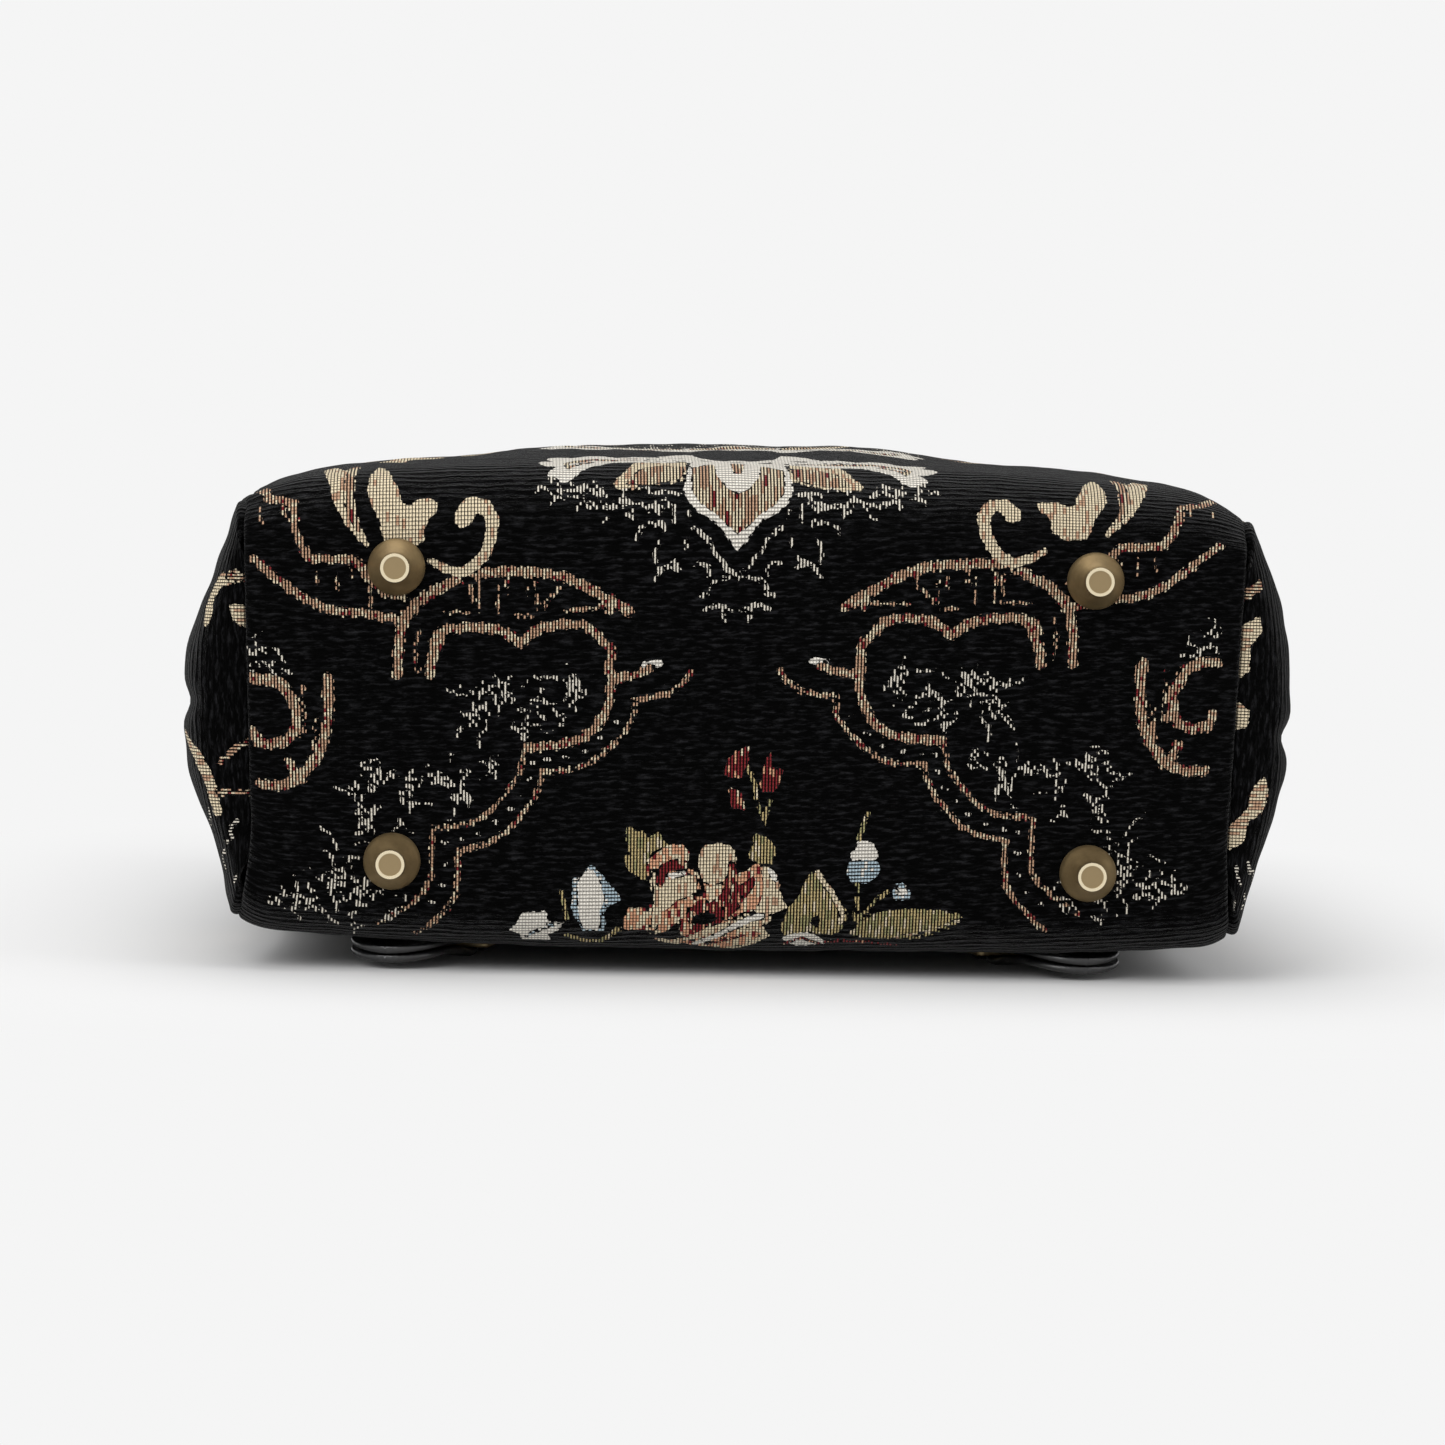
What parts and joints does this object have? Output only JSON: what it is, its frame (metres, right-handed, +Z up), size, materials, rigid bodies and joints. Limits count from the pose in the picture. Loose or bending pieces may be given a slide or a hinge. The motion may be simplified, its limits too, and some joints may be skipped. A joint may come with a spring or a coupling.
{
  "type": "backpack",
  "caption": "Small tapestry backpack lying on its back, with a zip mouth, leather shoulder straps, a carry handle and conical brass feet under its base.",
  "frame": {"origin": "centre of the bottom of the bounding box, on the floor that the bag lies on", "axes": "+Z up, out of the front panel of the lying bag; +Y from the feet towards the mouth; +X across the width"},
  "size_m": [0.3158, 0.369, 0.1492],
  "materials": {
    "tapestry": "ribbed chenille with a woven floral scroll",
    "lining": "plain weave",
    "board": "pressed fibre board",
    "brass": "antique, satin",
    "leather": "smooth, glossy",
    "zip_tape": "woven tape"
  },
  "bodies": {
    "bag": {"outer_panel": "tapestry", "left_gusset": "tapestry", "right_gusset": "tapestry", "lining": "lining", "base_board": "board", "front_left_foot": "brass", "front_right_foot": "brass", "back_left_foot": "brass", "back_right_foot": "brass", "foot_washers": "brass", "front_zip_tape": "zip_tape", "back_zip_tape": "zip_tape", "zip_end_stops": "brass", "strap_patch": "leather", "carry_handle": "leather", "left_strap": "leather", "right_strap": "leather", "left_slide": "brass", "right_slide": "brass", "left_ring": "brass", "right_ring": "brass", "left_tab": "leather", "right_tab": "leather", "rivets": "brass"},
    "slider": {"zip_slider": "brass"},
    "pull": {"zip_pull": "brass"}
  },
  "joints": [
    {"name": "zip_slide", "type": "slide", "parent": "bag", "child": "slider", "axis": [-1, 0, 0], "range_m": [0, 0.092]},
    {"name": "pull_hinge", "type": "hinge", "parent": "slider", "child": "pull", "pos_m": [-0.0301, 0.13795, 0.0313], "axis": [0, 0, -1], "range_deg": [0, 170]}
  ]
}
